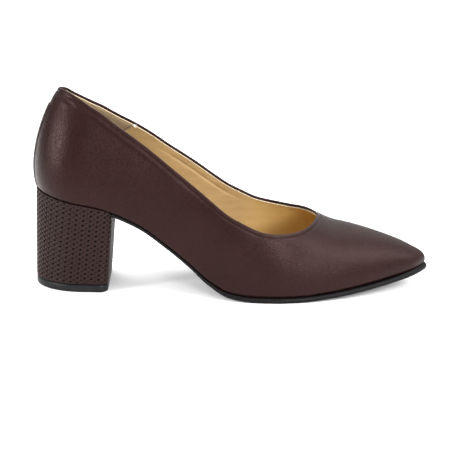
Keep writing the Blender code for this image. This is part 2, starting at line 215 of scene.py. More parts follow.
def light_room():
    """Room that is bright overhead and dark at the horizon, which draws a dark band along the leather."""
    room = bpy.data.worlds.new("room")
    bpy.context.scene.world = room
    room.use_nodes = True
    tree = room.node_tree
    sky = tree.nodes["Background"]
    sky.inputs["Color"].default_value = (1, 1, 1, 1)
    way = tree.nodes.new("ShaderNodeTexCoord").outputs["Generated"]
    parts = add_node(tree, "ShaderNodeSeparateXYZ", {0: way})
    right, behind, height = (Reading(tree, parts.outputs[axis]) for axis in "XYZ")
    strength = height.stretch(0.06, 0.60, 0.08, 1.15) + behind.stretch(0.3, 0.9, 0.0, 0.5)
    strength = strength + right.stretch(0.3, 0.9, 0.0, 0.7)
    tree.links.new(strength.socket, sky.inputs["Strength"])


light_room()


# Insole: a board with a tan leather sock glued on, under the foot from heel seat to toe.
# The last, the form that the whole shoe is pulled over, is measured here first.
LAST_LENGTH = 0.2408       # back of the heel seat to the tip of the toe, along the floor
BALL_WIDTH = 0.0770
SEAT_WIDTH = 0.0545
HEEL_HEIGHT = 0.0588       # floor to the underside of the upper at the very back
COUNTER_HEIGHT = 0.0610    # underside of the upper to the topline, at the back
INSTEP_HEIGHT = 0.0447     # floor to the middle of the throat
BACK_CURVE = 0.0028        # how far the back bulges behind the heel seat
HEEL_ROUND = 0.0290
TOE_ROUND = 0.0100
TOE_SWING = 0.0050
TOE_SPRING = 0.0088
EDGE_ROLL = 0.0027         # radius of the upper's lower edge, where the leather turns under
MARGIN = 0.0010            # flat strip of leather past that radius
THROAT_ALONG = 0.1713      # back of the seat to the middle of the throat
THROAT_ROUND = 0.152       # share of the last's length over which the throat rounds off
SOLE_BALL = 0.0030
SOLE_WAIST = 0.0019
GAP = 0.0003               # clearance between pieces that lie on each other
INSOLE = 0.0026
HEEL_INSET = 0.0004        # heel cover's face inside the upper's edge
HEEL_SET_BACK = 0.0009     # how far the foot of the heel stands behind its top


def chart(names, *rows):
    """Columns of numbers by name, from rows in the same order."""
    return dict(zip(names.split(), np.array(rows).T))


UNDERSIDE = chart(
    "along arch toe",
    (0.00, 1.000, 0.00),
    (0.08, 0.936, 0.00),
    (0.17, 0.864, 0.00),
    (0.26, 0.714, 0.00),
    (0.33, 0.510, 0.00),
    (0.39, 0.310, 0.00),
    (0.44, 0.135, 0.00),
    (0.49, 0.030, 0.00),
    (0.55, 0.000, 0.00),
    (0.65, 0.000, 0.00),
    (0.74, 0.000, 0.13),
    (0.84, 0.000, 0.39),
    (0.93, 0.000, 0.71),
    (1.00, 0.000, 1.00),
)
OUTLINE = chart(
    "along outer inner seat",
    (0.00, 0.000, 0.000, 1.00),
    (0.15, 0.000, 0.000, 1.00),
    (0.25, 0.150, 0.080, 0.80),
    (0.35, 0.420, 0.330, 0.45),
    (0.44, 0.760, 0.640, 0.12),
    (0.53, 0.960, 0.870, 0.00),
    (0.61, 1.000, 0.985, 0.00),
    (0.68, 0.955, 1.000, 0.00),
    (0.76, 0.830, 0.905, 0.00),
    (0.85, 0.615, 0.670, 0.00),
    (0.93, 0.375, 0.400, 0.00),
    (1.00, 0.130, 0.130, 0.00),
)
OUTER, INNER = -1, 1
UP = np.array((0.0, 0.0, 1.0))

# The last's coordinates start at the back; the frame's start in the middle of the shoe's box
heel_low, heel_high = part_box("heel")
HEEL_BACK = BACK_CURVE + HEEL_INSET - HEEL_SET_BACK
SHIFT = np.array((heel_low.x - HEEL_BACK, (heel_low.y + heel_high.y) / 2, 0.0))


def read(table, column, at):
    """Reads a column between its rows with a smooth curve that never overshoots them."""
    x, y = table["along"], table[column]
    slope = np.diff(y) / np.diff(x)
    product = slope[:-1] * slope[1:]
    total = np.where(product > 0, slope[:-1] + slope[1:], 1.0)
    lean = np.concatenate([slope[:1], np.where(product > 0, 2 * product / total, 0.0), slope[-1:]])
    i = np.clip(np.searchsorted(x, at, side="right") - 1, 0, len(x) - 2)
    span = x[i + 1] - x[i]
    t = np.clip((at - x[i]) / span, 0, 1)
    return ((2 * t**3 - 3 * t**2 + 1) * y[i] + (t**3 - 2 * t**2 + t) * span * lean[i]
            + (3 * t**2 - 2 * t**3) * y[i + 1] + (t**3 - t**2) * span * lean[i + 1])


def ease(at, start, end):
    t = np.clip((at - start) / (end - start), 0, 1)
    return t * t * (3 - 2 * t)


def underside(along):
    """Height of the outsole's lower face."""
    return HEEL_HEIGHT * read(UNDERSIDE, "arch", along) + TOE_SPRING * read(UNDERSIDE, "toe", along)


def sole_thickness(along):
    return SOLE_WAIST + (SOLE_BALL - SOLE_WAIST) * ease(along, 0.30, 0.56)


def seat_height(along):
    """Height of the upper's lower edge, on top of the outsole."""
    return underside(along) + sole_thickness(along) + GAP


def swing(along):
    return TOE_SWING * ease(along, 0.50, 1.05)


def half_width(along, side):
    outer, inner = read(OUTLINE, "outer", along), read(OUTLINE, "inner", along)
    wide = SEAT_WIDTH / 2 * read(OUTLINE, "seat", along)
    wide = wide + BALL_WIDTH / 2 * np.where(side == OUTER, outer, inner)
    back = np.clip(along * LAST_LENGTH / HEEL_ROUND, 0, 1)
    front = np.clip((1 - along) * LAST_LENGTH / TOE_ROUND, 0, 1)
    return wide * np.sqrt(1 - (1 - back) ** 2) * np.sqrt(1 - (1 - front) ** 2)


def along_of(turn):
    """Turn runs from 0 at the back to 1 at the tip, closer together on the round ends."""
    return (1 - np.cos(math.pi * turn)) / 2


def turn_of(along):
    return math.acos(1 - 2 * along) / math.pi


def foot_point(turn, side):
    """Point of the lower edge's outline, in the frame's coordinates."""
    along = along_of(turn)
    across = swing(along) + side * half_width(along, side)
    return np.stack([BACK_CURVE + along * LAST_LENGTH, across, seat_height(along)], axis=-1) + SHIFT


def outward(turn, side):
    """Level direction that leaves the outline at a right angle."""
    step = np.minimum(0.004, np.minimum(turn, 1 - turn))
    run = foot_point(turn + step, side) - foot_point(turn - step, side)
    away = np.stack([-side * run[..., 1], side * run[..., 0], 0 * step], axis=-1)
    end = np.stack([np.where(turn < 0.5, -1.0, 1.0), 0 * step, 0 * step], axis=-1)
    away = np.where((step <= 1e-9)[..., None], end, away)
    return away / np.linalg.norm(away, axis=-1, keepdims=True)


def grid_faces(rows, columns, closed=False, start=0):
    """Quads of a grid whose points lie row by row."""
    faces = []
    for row in range(rows - 1):
        for column in range(columns if closed else columns - 1):
            right = (column + 1) % columns
            faces.append((start + row * columns + column, start + row * columns + right,
                          start + (row + 1) * columns + right, start + (row + 1) * columns + column))
    return faces


def new_piece(name, grids, finish, faces=(), shut=True):
    """Mesh object of one or more (points, closed) grids, doubles merged, faces outward, smooth."""
    points, quads = [], []
    for grid, closed in grids:
        quads += grid_faces(grid.shape[0], grid.shape[1], closed, len(points))
        points += grid.reshape(-1, 3).tolist()
    mesh = bpy.data.meshes.new(name)
    mesh.from_pydata(points, [], quads + list(faces))
    work = bmesh.new()
    work.from_mesh(mesh)
    bmesh.ops.remove_doubles(work, verts=work.verts, dist=2e-6)
    bmesh.ops.dissolve_degenerate(work, edges=work.edges, dist=1e-6)
    bmesh.ops.recalc_face_normals(work, faces=work.faces)
    if shut and work.calc_volume(signed=True) < 0:
        bmesh.ops.reverse_faces(work, faces=work.faces)
    work.to_mesh(mesh)
    work.free()
    mesh.shade_smooth()
    mesh.materials.append(finish.material)
    return put_in_scene(name, mesh)


SOCK_EDGE = 0.0024         # from the upper's outline to the sock's edge
SOCK_DISH = 0.0007         # how far its edge climbs the wall
SOCK_TANS = (0.41, 0.265, 0.125), (0.48, 0.32, 0.155)

sock_leather = Finish("sock_leather", 0.55, Specular_IOR_Level=0.35)
sock_leather.tint(sock_leather.grain(90, 4).stretch(0.3, 0.7), *SOCK_TANS)
sock_leather.bump(sock_leather.pebble(1400), 0.00006, 0.5)


def make_insole_sock():
    """Closed plate: its edge lies against the lining, its underside inside the upper's margin."""
    turns = np.linspace(0.012, 0.985, 150)
    across = np.linspace(-1, 1, 25)
    rows = []
    for turn in turns:
        here = np.array([turn])
        level = seat_height(along_of(here))[0]
        top_ends, low_ends = (
            [(foot_point(here, side) - outward(here, side) * inset)[0] for side in (OUTER, INNER)]
            for inset in (SOCK_EDGE, EDGE_ROLL + MARGIN + GAP))
        if low_ends[1][1] - low_ends[0][1] < 0.002:
            continue
        share = ((across + 1) / 2)[:, None]
        top = top_ends[0] * (1 - share) + top_ends[1] * share
        top[:, 2] = level + INSOLE + SOCK_DISH * np.abs(across) ** 6
        low = low_ends[0] * (1 - share) + low_ends[1] * share
        low[:, 2] = level
        rows.append(np.concatenate([top, low[::-1]]))
    grid = np.array(rows)
    count = grid.shape[1]
    last = (len(rows) - 1) * count
    ends = []
    for start in (0, last):
        for i in range(count // 2 - 1):
            ends.append((start + i, start + i + 1, start + count - 2 - i, start + count - 1 - i))
    return new_piece("insole_sock", [(grid, True)], sock_leather, ends)


insole_sock = make_insole_sock()
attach(insole_sock, "root")
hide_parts("insole")


# Lining: thin tan goat leather inside the upper, down to the sock.
# Its raw top edge shows as a cream line under the folded rim of the upper.
CROWN = chart(
    "along crown heel counter instep",
    (0.00, 0.195, 1.00, 1.28, 0.00),
    (0.12, 0.235, 0.96, 1.25, 0.00),
    (0.25, 0.330, 0.75, 1.18, 0.00),
    (0.37, 0.430, 0.42, 1.08, 0.08),
    (0.50, 0.535, 0.12, 0.72, 0.580),
    (0.61, 0.632, 0.02, 0.24, 0.985),
    (0.70, 0.711, 0.00, 0.06, 0.923),
    (0.77, 0.772, 0.00, 0.00, 0.878),
    (0.83, 0.826, 0.00, 0.00, 0.811),
    (0.89, 0.880, 0.00, 0.00, 0.722),
    (0.94, 0.933, 0.00, 0.00, 0.618),
    (1.00, 0.969, 0.00, 0.00, 0.526),
)
WALL_BEND = chart(
    "along swell rise reach_along reach_across",
    (0.00, 0.0065, 0.36, 0.60, 0.10),
    (0.14, 0.0048, 0.40, 0.60, 0.12),
    (0.25, 0.0030, 0.50, 0.60, 0.36),
    (0.35, 0.0022, 0.57, 0.60, 0.76),
    (0.45, 0.0018, 0.62, 0.60, 0.88),
    (0.56, 0.0012, 0.62, 0.60, 0.72),
    (0.70, 0.0010, 0.55, 0.60, 0.60),
    (0.85, 0.0010, 0.52, 0.55, 0.55),
    (1.00, 0.0006, 0.51, 0.50, 0.50),
)
TOPLINE = chart(
    "along outer inner",
    (0.00, 0.576, 0.576),
    (0.02, 0.589, 0.568),
    (0.05, 0.581, 0.543),
    (0.12, 0.530, 0.496),
    (0.20, 0.466, 0.454),
    (0.30, 0.432, 0.445),
    (0.40, 0.427, 0.466),
    (0.50, 0.390, 0.435),
    (0.56, 0.376, 0.418),
    (0.64, 0.381, 0.433),
    (0.70, 0.382, 0.553),
)


def crown_point(along):
    """Point of the crown line, the top of the last."""
    share = np.clip(along, 0, 1)
    crown = read(CROWN, "crown", share)
    height = (HEEL_HEIGHT * read(CROWN, "heel", share) + COUNTER_HEIGHT * read(CROWN, "counter", share)
              + INSTEP_HEIGHT * read(CROWN, "instep", share))
    return np.stack([BACK_CURVE + crown * LAST_LENGTH, swing(crown), height], axis=-1) + SHIFT


def wall_point(turn, side, t):
    """Outer face of the upper: t is 0 where the edge roll ends and 1 on the crown line."""
    turn, side, t = np.broadcast_arrays(turn, side, t)
    along = along_of(turn)
    start = foot_point(turn, side) + UP * EDGE_ROLL
    crown = crown_point(along)
    rise = crown[..., 2] - start[..., 2]
    ahead, behind = crown_point(along + 0.01), crown_point(along - 0.01)
    slope = (ahead[..., 2] - behind[..., 2]) / (ahead[..., 0] - behind[..., 0])
    swell = read(WALL_BEND, "swell", along)[..., None]
    first = start + outward(turn, side) * swell + UP * (rise * read(WALL_BEND, "rise", along))[..., None]
    away_along = (start[..., 0] - crown[..., 0]) * read(WALL_BEND, "reach_along", along)
    away_across = (start[..., 1] - crown[..., 1]) * read(WALL_BEND, "reach_across", along)
    second = crown + np.stack([away_along, away_across, away_along * slope], axis=-1)
    t = t[..., None]
    return start * (1 - t) ** 3 + first * 3 * t * (1 - t) ** 2 + second * 3 * t * t * (1 - t) + crown * t ** 3


def wall_normal(turn, side, t):
    """Outward normal of the wall."""
    turn, side, t = np.broadcast_arrays(turn, side, t)
    step = 0.002
    ahead = wall_point(np.minimum(turn + step, 1 - 1e-4), side, t)
    behind = wall_point(np.maximum(turn - step, 1e-4), side, t)
    across = wall_point(turn, side, np.minimum(t + step, 1)) - wall_point(turn, side, t - step)
    normal = np.cross(ahead - behind, across) * -side[..., None]
    normal /= np.linalg.norm(normal, axis=-1, keepdims=True)
    back = turn < 1e-6
    normal[..., 1] = np.where(back, 0, normal[..., 1])
    return normal / np.linalg.norm(normal, axis=-1, keepdims=True)


def throat_place():
    """Place along the outline whose crown point is the middle of the throat."""
    low, high = 0.5, 0.9
    for _ in range(40):
        middle = (low + high) / 2
        if crown_point(np.array(middle))[0] - SHIFT[0] - BACK_CURVE < THROAT_ALONG:
            low = middle
        else:
            high = middle
    return low


THROAT = throat_place()


def topline(along, side):
    """Share of the way up the wall where the upper ends, 1 from the throat to the toe."""
    base = np.where(side == OUTER, read(TOPLINE, "outer", along), read(TOPLINE, "inner", along))
    gone = np.clip((along - THROAT + THROAT_ROUND) / THROAT_ROUND, 0, 1)
    return np.where(along >= THROAT - 1e-9, 1.0, base + (1 - base) * (1 - np.sqrt(1 - gone * gone)))


def even_turns(start, end, step):
    """Places whose lower edge and topline both advance by about a step, closer at the throat."""
    toward = np.linspace(0, 1, 3001)
    fine = start + (end - start) * (np.sin(math.pi / 2 * toward) if start == 0 else toward)
    cost = np.zeros(len(fine) - 1)
    for side in (OUTER, INNER):
        rim = wall_point(fine, side, topline(along_of(fine), side))
        for line in (foot_point(fine, side), rim):
            cost = np.maximum(cost, np.linalg.norm(np.diff(line, axis=0), axis=-1))
    run = np.concatenate([[0], np.cumsum(cost)])
    count = int(math.ceil(run[-1] / step))
    return np.interp(np.linspace(0, run[-1], count + 1), run, fine)


THROAT_TURN = turn_of(THROAT)


def ring_of(step):
    """Columns round the last: outer side from the toe back to the heel, then the inner side."""
    rear = even_turns(0.0, THROAT_TURN, step)
    front = even_turns(THROAT_TURN, 1.0, step)[1:]
    turns = np.concatenate([rear, front])
    turn = np.concatenate([turns[::-1], turns[1:-1]])
    side = np.concatenate([np.full(len(turns), OUTER), np.full(len(turns) - 2, INNER)])
    first = len(front)
    return turn, side, first, first + 2 * (len(rear) - 1)


class Finder:
    """Finds the nearest of many points."""

    def __init__(self, points):
        flat = points.reshape(-1, 3)
        self.tree = KDTree(len(flat))
        for i, point in enumerate(flat):
            self.tree.insert(point, i)
        self.tree.balance()

    def nearest(self, points):
        """Distance to the nearest point, and its index."""
        found = [self.tree.find(point)[1:] for point in points.reshape(-1, 3)]
        index, away = (np.array(column).reshape(points.shape[:-1]) for column in zip(*found))
        return away, index


class Rim(Finder):
    """The topline as a closed line, with the way up the wall at each point."""

    def __init__(self, step):
        turn, side, first, last = ring_of(step)
        turn, side = turn[first:last], side[first:last]
        top = topline(along_of(turn), side)
        self.line = wall_point(turn, side, top)
        run = np.roll(self.line, -1, axis=0) - np.roll(self.line, 1, axis=0)
        run /= np.linalg.norm(run, axis=-1, keepdims=True)
        self.up = np.cross(wall_normal(turn, side, top), run)
        self.up /= np.linalg.norm(self.up, axis=-1, keepdims=True)
        if self.up[np.argmin(self.line[:, 0])][2] < 0:
            self.up = -self.up
        super().__init__(self.line)


rim = Rim(0.0006)
PULL_FADE = 0.009          # how far below the topline the wall gives way to the fold


def wall_grid(step, rows, pull, crowd=1.35):
    """Wall from the topline down to the edge roll, its top drawn down by pull to leave room."""
    turn, side, first, last = ring_of(step)
    down = (np.arange(rows + 1) / rows) ** crowd
    top = topline(along_of(turn), side)
    share = top[None, :] * (1 - down[:, None])
    points = wall_point(turn[None, :], side[None, :], share)
    normals = wall_normal(turn[None, :], side[None, :], share)
    away, index = rim.nearest(points)
    fade = (1 - ease(away, 0, PULL_FADE))[..., None]
    return points - rim.up[index] * pull * fade, normals, away, (turn, side, first, last)


LINING_TOP = 0.0018        # from the top of the fold down to the lining's raw edge
LINING_OUT = 0.0015        # from the upper's face in to the lining's hidden face
LINING = 0.0006            # its thickness
LINING_FOOT = 0.0006       # from the underside of the upper to the lining's lower edge
LINING_TANS = (0.343, 0.226, 0.097), (0.392, 0.264, 0.117)
THROAT_PAINTED_LIGHT_TAN = (0.76, 0.48, 0.125)    # painted bounce light: brighter, warmer tan where the lining lies deep under the vamp
PAINTED_LIGHT_FROM, PAINTED_LIGHT_TO = 0.005, 0.070   # between these it goes over to the painted bounce light
RAW_EDGE_CREAM = (0.78, 0.68, 0.50)
LEAF_SHOWS = 0.0054        # below the topline, where the upper's folded-in leaf ends behind it
LEAF_STEP = 0.0004         # how far it presses the lining in there

lining_leather = Finish("lining_leather", 0.5, Specular_IOR_Level=0.4)
streaks = lining_leather.grain(260, 5, (0.14, 1, 1), 0.4)
tan = lining_leather.mix(streaks.stretch(0.32, 0.68), *LINING_TANS)
forward = lining_leather.read("ShaderNodeSeparateXYZ", "X", {0: lining_leather.where})
# Painted bounce light: towards the toe the lining's tan is painted brighter and warmer, deep inside the shoe
painted_light_tan = lining_leather.mix(forward.stretch(PAINTED_LIGHT_FROM, PAINTED_LIGHT_TO), tan, THROAT_PAINTED_LIGHT_TAN)
lining_leather.tint(lining_leather.kept("raw_edge"), painted_light_tan, RAW_EDGE_CREAM)
lining_leather.bump(lining_leather.pebble(1600), 0.00005, 0.5)
lining_leather.bump(streaks, 0.0002, 0.5)


def mark(piece, name, values):
    """Keeps a number for each point of a piece, for its material to read."""
    layer = piece.data.attributes.new(name, "FLOAT", "POINT")
    layer.data.foreach_set("value", np.asarray(values, dtype=np.float32).ravel())


def points_of(piece):
    flat = np.empty(len(piece.data.vertices) * 3)
    piece.data.vertices.foreach_get("co", flat)
    return flat.reshape(-1, 3)


def make_lining():
    """Closed sheet: hidden face, raw top edge, and the face that the foot touches."""
    points, normals, away, (turn, side, first, last) = wall_grid(0.0018, 60, LINING_TOP, 1.7)
    along = along_of(turn)[None, :]
    step = (side[None, :] == INNER) * ease(along, 0.28, 0.36) * (1 - ease(along, 0.45, 0.54))
    points = points + normals * (LEAF_STEP * step * np.exp(-((away - LEAF_SHOWS) / 0.0012) ** 2))[..., None]
    hidden = points - normals * LINING_OUT
    shown = points - normals * (LINING_OUT + LINING)
    low_hidden = hidden[-1] - UP * (EDGE_ROLL - LINING_FOOT)
    low_shown = shown[-1] - UP * (EDGE_ROLL - LINING_FOOT)
    inside = np.concatenate([shown, low_shown[None]])
    outside = np.concatenate([hidden, low_hidden[None]])
    bridge = np.stack([shown[0, first:last], hidden[0, first:last]])
    foot = np.stack([low_shown, low_hidden])
    grids = [(inside, True), (outside, True), (bridge, True), (foot, True)]
    piece = new_piece("lining", grids, lining_leather)
    away, _ = Finder(bridge).nearest(points_of(piece))
    mark(piece, "raw_edge", away < 0.0001)
    return piece


lining = make_lining()
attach(lining, "root")


# Upper: one piece of fine dark brown calf, pulled over the last and turned under at the sole.
# At the topline it is skived, folded over a tape and hammered down, which leaves a soft rim.
FOLD = 0.00075             # radius of the folded rim
LEAF = 0.0042              # length of the folded-in leaf
LEATHER = 0.00050          # thickness of the skin itself
ROLL_ROWS = 7
LEATHER_DARK = (0.0096, 0.0030, 0.0026)
LEATHER_LIGHT = (0.0122, 0.0040, 0.0035)
SHINE_BROWN = (1.0, 0.72, 0.68, 1.0)
RIM_PAINTED_HIGHLIGHT = (0.055, 0.030, 0.027)   # painted highlight along the crest of the folded rim

brown_calf = Finish("brown_calf", 0.32, Specular_IOR_Level=0.165, Specular_Tint=SHINE_BROWN)
cloud = brown_calf.grain(55, 3) * 0.6 + brown_calf.grain(850, 3) * 0.4
brown = brown_calf.mix(cloud.stretch(0.36, 0.64), LEATHER_DARK, LEATHER_LIGHT)
# The rim number paints a highlight along the crest of the folded rim
brown_calf.tint(brown_calf.kept("rim"), brown, RIM_PAINTED_HIGHLIGHT)
brown_calf.feed("Roughness", brown_calf.grain(1100, 3).stretch(0.35, 0.65, 0.27, 0.42))
brown_calf.bump(brown_calf.pebble(1600), 0.00013, 0.7)
brown_calf.bump(brown_calf.grain(500, 3), 0.00012, 0.4)


def roll_grid(turn, side):
    """Edge roll and margin, from the wall down and under."""
    foot, out = foot_point(turn, side), outward(turn, side)
    rows = []
    for i in range(ROLL_ROWS + 1):
        angle = math.pi / 2 * (1 - i / ROLL_ROWS)
        inset = EDGE_ROLL * (1 - math.sin(angle))
        rows.append(foot - out * inset + UP * EDGE_ROLL * (1 - math.cos(angle)))
    rows.append(foot - out * (EDGE_ROLL + MARGIN))
    return np.array(rows)


# Creases as (place, place, depth, half width): small folds where the leather is drawn in at the back
CREASES = [
    ((-0.1060, 0.1195), (-0.0985, 0.1150), -0.00040, 0.0009),
    ((-0.1050, 0.1168), (-0.0990, 0.1128), 0.00034, 0.0011),
    ((-0.1020, 0.1208), (-0.0965, 0.1180), 0.00028, 0.0010),
    ((-0.0690, 0.0940), (-0.0620, 0.0893), -0.00012, 0.0012),
]
GROOVE_DOWN = 0.0021       # from the topline to the dip under the folded rim
GROOVE = 0.00026
RIDGE_DOWN = 0.0042        # soft ridge under it, where the folded-in leaf ends behind the leather
RIDGE = 0.00034
LOW_RIM = 0.0006           # how much further the outer rim is drawn down near the back
WAVE = 0.00012             # slow unevenness of hand-pulled leather


def leather_relief(points, away, along, side):
    """How far the leather stands out or in: fold line, soft ridge, creases and slow waves."""
    toward_throat = 0.60 + 0.40 * ease(along, 0.40, 0.58) * (1 - ease(along, 0.80, 0.90))
    relief = -GROOVE * toward_throat * np.exp(-((away - GROOVE_DOWN) / 0.0008) ** 2)
    quarter = ease(along, 0.03, 0.07) * (1 - ease(along, 0.34, 0.44))
    relief = relief + RIDGE * quarter * np.exp(-((away - RIDGE_DOWN) / 0.0013) ** 2)
    flat = points[..., [0, 2]]
    for start, end, depth, width in CREASES:
        start, end = np.array(start), np.array(end)
        line = end - start
        share = np.clip(((flat - start) @ line) / (line @ line), 0, 1)
        off = np.linalg.norm(flat - start - share[..., None] * line, axis=-1)
        taper = 0.35 + 0.65 * np.sin(math.pi * np.clip(share, 0.08, 0.92))
        relief = relief + (side == OUTER) * depth * taper * np.exp(-(off / width) ** 2)
    waves = np.array([noise.noise(Vector(p) * 45) + 0.5 * noise.noise(Vector(p) * 110)
                      for p in points.reshape(-1, 3)]).reshape(points.shape[:-1])
    return relief + WAVE * waves * ease(away, 0.001, 0.008)


def make_upper():
    """One skin: the wall, its turned-in lower edge, and the fold round the topline."""
    points, normals, away, (turn, side, first, last) = wall_grid(0.00125, 56, FOLD)
    along = along_of(turn)
    drawn = 0.0003 + LOW_RIM * (side == OUTER) * ease(along, 0.002, 0.02) * (1 - ease(along, 0.07, 0.20))
    _, index = rim.nearest(points)
    points = points - rim.up[index] * (drawn[None, :] * (1 - ease(away, 0, PULL_FADE)))[..., None]
    relief = leather_relief(points, away, along[None, :], side[None, :])
    calm = np.ones(len(points))
    calm[0], calm[-1] = 0.0, 0.0
    calm[1], calm[-2] = 0.6, 0.5
    points = points + normals * (relief * calm[:, None])[..., None]
    open_turn, open_side = turn[first:last], side[first:last]
    top = topline(along[first:last], open_side)
    edge = points[0, first:last]
    normal = wall_normal(open_turn, open_side, top)
    _, index = rim.nearest(wall_point(open_turn, open_side, top))
    up = rim.up[index]
    rows = []
    for i in range(9):
        angle = math.pi * i / 8
        rows.append(edge - normal * FOLD * (1 - math.cos(angle)) + up * FOLD * math.sin(angle))
    for share in (0.25, 0.6, 1.0):
        rows.append(edge - normal * FOLD * 2 - up * LEAF * share)
    fold = np.array(rows)
    piece = new_piece("upper_leather", [(points, True), (roll_grid(turn, side), True), (fold, True)],
                      brown_calf, shut=False)
    spots = points_of(piece)
    from_rim, index = rim.nearest(spots)
    crest = np.einsum("ij,ij->i", spots - rim.line[index], rim.up[index])
    # Painted highlight: a pale band along the crest of the fold, for the rim number
    mark(piece, "rim", (from_rim < 0.003) * np.exp(-((crest + 0.0007) / 0.0005) ** 2) * 0.25)
    back = min(piece.data.polygons, key=lambda face: abs(face.center.y) + face.center.x)
    if back.normal.x > 0:
        piece.data.flip_normals()
    wall = piece.modifiers.new("Skin", "SOLIDIFY")
    wall.thickness = LEATHER
    wall.offset = -1
    return piece


upper_leather = make_upper()
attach(upper_leather, "root")
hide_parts("upper")


# Heel grip: grey-beige suede glued over the lining round the back, so that the heel stays put.
# It ends in a slanting edge on each side, sewn down through the lining.
GRIP_FRONT_TOP = 0.0549    # how far forward of the back it reaches at the topline
GRIP_FRONT_FOOT = 0.0300    # and lower down the wall
GRIP = 0.0004
GRIP_FACE = LINING_OUT + LINING + GRIP
SUEDE_BEIGES = (0.200, 0.146, 0.084), (0.243, 0.179, 0.108)
THREAD_BROWNS = (0.070, 0.026, 0.014), (0.100, 0.040, 0.022)
THREAD_WHITES = (0.72, 0.71, 0.68), (0.84, 0.83, 0.80)

suede = Finish("suede", 0.95, Specular_IOR_Level=0.1, Sheen_Weight=0.25)
nap = suede.grain(700, 4)
suede.tint(nap.stretch(0.3, 0.7), *SUEDE_BEIGES)
suede.bump(nap, 0.0003, 0.6)


def grip_point(spread, down, lift):
    """Point of the grip: spread runs -1 to 1 round the back, down 0 to 1, lift off the upper's face."""
    limit = turn_of((GRIP_FRONT_TOP + (GRIP_FRONT_FOOT - GRIP_FRONT_TOP) * down) / LAST_LENGTH)
    turn, side = np.abs(spread) * limit, np.where(spread < 0, OUTER, INNER)
    share = topline(along_of(turn), side) * (1 - 0.97 * down)
    points, normals = wall_point(turn, side, share), wall_normal(turn, side, share)
    away, index = rim.nearest(points)
    fade = (1 - ease(away, 0, PULL_FADE))[..., None]
    return points - rim.up[index] * (LINING_TOP + 0.0008) * fade - normals * np.asarray(lift)[..., None]


def sheet(shown, hidden):
    """Grids of a closed sheet: its two faces and the four edges between them."""
    edges = [(shown[0], hidden[0]), (shown[-1], hidden[-1]),
             (shown[:, 0], hidden[:, 0]), (shown[:, -1], hidden[:, -1])]
    return [(shown, False), (hidden, False)] + [(np.stack(edge), False) for edge in edges]


def make_heel_grip():
    """Closed sheet on the lining's face, from one slanting edge round the back to the other."""
    rows, columns = 34, 70
    spread = np.linspace(-1, 1, 2 * columns + 1)
    from_end = columns * (1 - np.abs(spread))
    shown, hidden = [], []
    for row in range(rows + 1):
        thick = np.minimum(1, np.minimum(from_end, row) / 1.5)
        shown.append(grip_point(spread, row / rows, LINING_OUT + LINING + GRIP * thick))
        hidden.append(grip_point(spread, row / rows, np.full(len(spread), LINING_OUT + LINING - 0.0001)))
    return new_piece("heel_grip", sheet(np.array(shown), np.array(hidden)), suede)


heel_grip = make_heel_grip()
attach(heel_grip, "root")


def start_tree(name, sockets):
    """Tree of shape nodes with its inputs, given by name and kind."""
    tree = bpy.data.node_groups.new(name, "GeometryNodeTree")
    for socket, kind in sockets.items():
        tree.interface.new_socket(socket, in_out="INPUT", socket_type="NodeSocket" + kind)
    tree.interface.new_socket("Shape", in_out="OUTPUT", socket_type="NodeSocketGeometry")
    return tree, tree.nodes.new("NodeGroupInput").outputs


def end_tree(tree, given, shape):
    """Makes the shape plain, dresses it in the given material and hands it out."""
    real = add_node(tree, "GeometryNodeRealizeInstances", {"Geometry": shape})
    dress = add_node(tree, "GeometryNodeSetMaterial", {
        "Geometry": real.outputs[0], "Material": given["Material"]})
    add_node(tree, "NodeGroupOutput", {0: dress.outputs[0]})
    return tree


def stitch_tree():
    """Lays stitches end to end along a line."""
    tree, given = start_tree("stitches", {
        "Line": "Geometry", "Stitch to stitch": "Float", "Stitch length": "Float", "Thread": "Float",
        "Seed": "Int", "Material": "Material"})

    def add(kind, output, inputs=(), **settings):
        return add_node(tree, kind, inputs, **settings).outputs[output]

    curve = add("GeometryNodeMeshToCurve", 0, {0: given["Line"]})
    spaced = add("GeometryNodeResampleCurve", "Curve", {
        "Curve": curve, "Length": given["Stitch to stitch"]}, mode="LENGTH")
    bead = add("GeometryNodeMeshUVSphere", "Mesh", {"Segments": 10, "Rings": 8, "Radius": 0.5})
    tangent = add("GeometryNodeInputTangent", "Tangent")
    turn = add("FunctionNodeAlignRotationToVector", "Rotation", {"Vector": tangent}, axis="Z")
    chance = add("FunctionNodeRandomValue", "Value", {
        "Min": 0.88, "Max": 1.08, "Seed": given["Seed"]}, data_type="FLOAT")
    length = Reading(tree, given["Stitch length"]) * Reading(tree, chance)
    size = add("ShaderNodeCombineXYZ", 0, {"X": given["Thread"], "Y": given["Thread"], "Z": length})
    return end_tree(tree, given, add("GeometryNodeInstanceOnPoints", "Instances", {
        "Points": spaced, "Instance": bead, "Rotation": turn, "Scale": size}))


STITCHES = stitch_tree()


def run_tree(piece, tree, sizes):
    """Runs a node tree on a piece with the sizes by name, and keeps the outcome as plain mesh."""
    step = piece.modifiers.new("Shape", "NODES")
    step.node_group = tree
    for item in tree.interface.items_tree:
        if item.item_type == "SOCKET" and item.in_out == "INPUT" and item.name in sizes:
            step[item.identifier] = sizes[item.name]
    bpy.context.view_layer.update()
    drawn = piece.evaluated_get(bpy.context.evaluated_depsgraph_get())
    made = bpy.data.meshes.new_from_object(drawn)
    piece.modifiers.clear()
    piece.data = made
    made.shade_smooth()
    return piece


brown_thread = Finish("brown_thread", 0.7, Specular_IOR_Level=0.2)
brown_thread.tint(brown_thread.grain(2500), *THREAD_BROWNS)


def line_of(name, lines):
    """Object of plain edges, one run per list of points."""
    points, edges = [], []
    for line in lines:
        edges += [(len(points) + i, len(points) + i + 1) for i in range(len(line) - 1)]
        points += np.asarray(line).tolist()
    mesh = bpy.data.meshes.new(name)
    mesh.from_pydata(points, edges, [])
    return put_in_scene(name, mesh)


